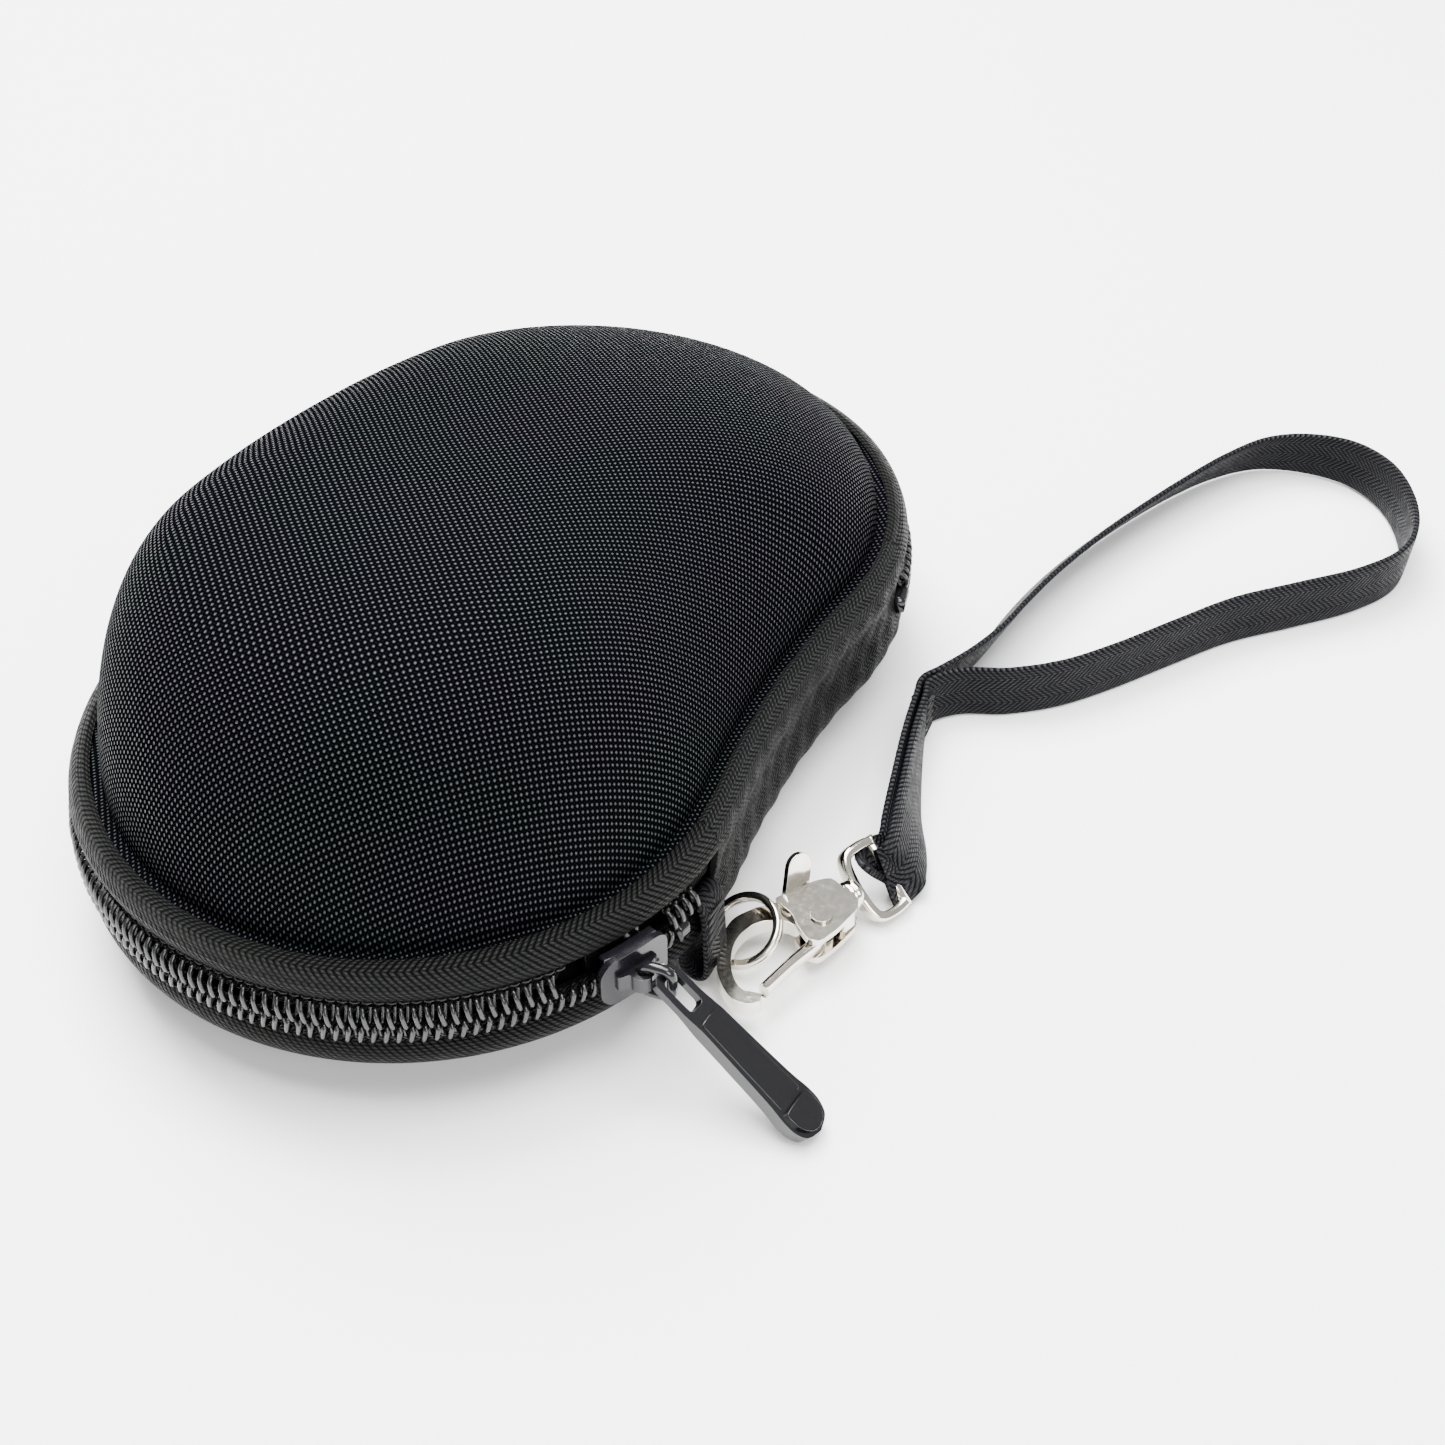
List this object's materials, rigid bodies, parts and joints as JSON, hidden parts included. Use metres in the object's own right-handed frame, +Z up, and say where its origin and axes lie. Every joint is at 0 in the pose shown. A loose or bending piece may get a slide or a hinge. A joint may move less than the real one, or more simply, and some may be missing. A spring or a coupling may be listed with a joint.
{
  "type": "headphone carrying case",
  "caption": "Zipped hard-shell carrying case for headphones with a domed lid, black woven cloth, a webbing tab with a ring, a swivel clasp and a wrist strap.",
  "frame": {"origin": "Centre of the flat base that the case rests on.", "axes": "+Z up out of the lid, +Y along the case to its narrow end, +X towards the hinge side, where the ring, clasp and strap are."},
  "size_m": [0.1673, 0.1996, 0.0622],
  "materials": {
    "shell_cloth": "two-yarn woven nylon",
    "lining_cloth": "smooth knitted lining",
    "binding": "woven edge tape",
    "zip_tape": "herringbone zip tape",
    "zip_coil": "nylon coil",
    "hinge_cloth": "woven hinge strip",
    "black_metal": "satin black",
    "black_enamel": "gloss black",
    "spring_steel": "plain",
    "nickel": "warm polished nickel",
    "webbing": "herringbone webbing",
    "thread": "polyester thread"
  },
  "bodies": {
    "lower_case": {"lower_shell": "shell_cloth", "lower_lining": "lining_cloth", "lower_binding": "binding", "zip_tape_lower": "zip_tape", "zip_coil_lower": "zip_coil", "zip_end_stops": "black_metal", "hinge_strip_base": "hinge_cloth", "hinge_lining": "lining_cloth", "ring_tab": "webbing"},
    "lid": {"upper_shell": "shell_cloth", "upper_lining": "lining_cloth", "upper_binding": "binding", "zip_tape_upper": "zip_tape", "zip_coil_upper": "zip_coil", "hinge_strip_lid": "hinge_cloth"},
    "slider": {"slider_body": "black_metal", "slider_crown": "black_metal", "slider_lock_spring": "spring_steel"},
    "link": {"puller_link": "black_metal"},
    "puller": {"puller_tab": "black_enamel"},
    "ring": {"strap_ring": "nickel"},
    "clasp": {"clasp_body": "nickel", "clasp_rivet": "nickel", "clasp_spring": "spring_steel"},
    "lever": {"clasp_lever": "nickel"},
    "eye": {"swivel_eye": "nickel"},
    "strap": {"wrist_strap": "webbing", "strap_stitches": "thread"}
  },
  "joints": [
    {"name": "lid_hinge", "type": "hinge", "parent": "lower_case", "child": "lid", "pos_m": [0.0495, 0, 0.018], "axis": [0, 1, 0], "range_deg": [0, 105]},
    {"name": "zip_travel", "type": "hinge", "parent": "lower_case", "child": "slider", "pos_m": [0, -0.028, 0.018], "axis": [0, 0, -1], "range_deg": [0, 140]},
    {"name": "link_swing", "type": "hinge", "parent": "slider", "child": "link", "pos_m": [0.04726, -0.05004, 0.018], "axis": [0, 0, 1], "range_deg": [-20, 10]},
    {"name": "puller_swing", "type": "hinge", "parent": "link", "child": "puller", "pos_m": [0.05145, -0.04967, 0.018], "axis": [0.0872, 0.9962, 0], "range_deg": [-60, 0]},
    {"name": "ring_swing", "type": "hinge", "parent": "lower_case", "child": "ring", "pos_m": [0.04679, -0.02646, 0.00294], "axis": [0.3284, -0.8698, -0.3681], "range_deg": [-10, 5]},
    {"name": "clasp_swing", "type": "hinge", "parent": "ring", "child": "clasp", "pos_m": [0.05065, -0.02577, 0.0048], "axis": [0, 0, 1], "range_deg": [-5, 5]},
    {"name": "lever_press", "type": "hinge", "parent": "clasp", "child": "lever", "pos_m": [0.0607, -0.0204, 0.0048], "axis": [0, 0, -1], "range_deg": [0, 15], "stiffness_Nm_per_rad": 0.02, "springref_deg": -11.46},
    {"name": "eye_spin", "type": "hinge", "parent": "clasp", "child": "eye", "pos_m": [0.06231, -0.01236, 0.0048], "axis": [0.4067, 0.9135, 0], "continuous": true},
    {"name": "strap_swing", "type": "hinge", "parent": "eye", "child": "strap", "pos_m": [0.06499, -0.00633, 0.0048], "axis": [-0.71, 0.3161, 0.6293], "range_deg": [-8, 8]}
  ]
}
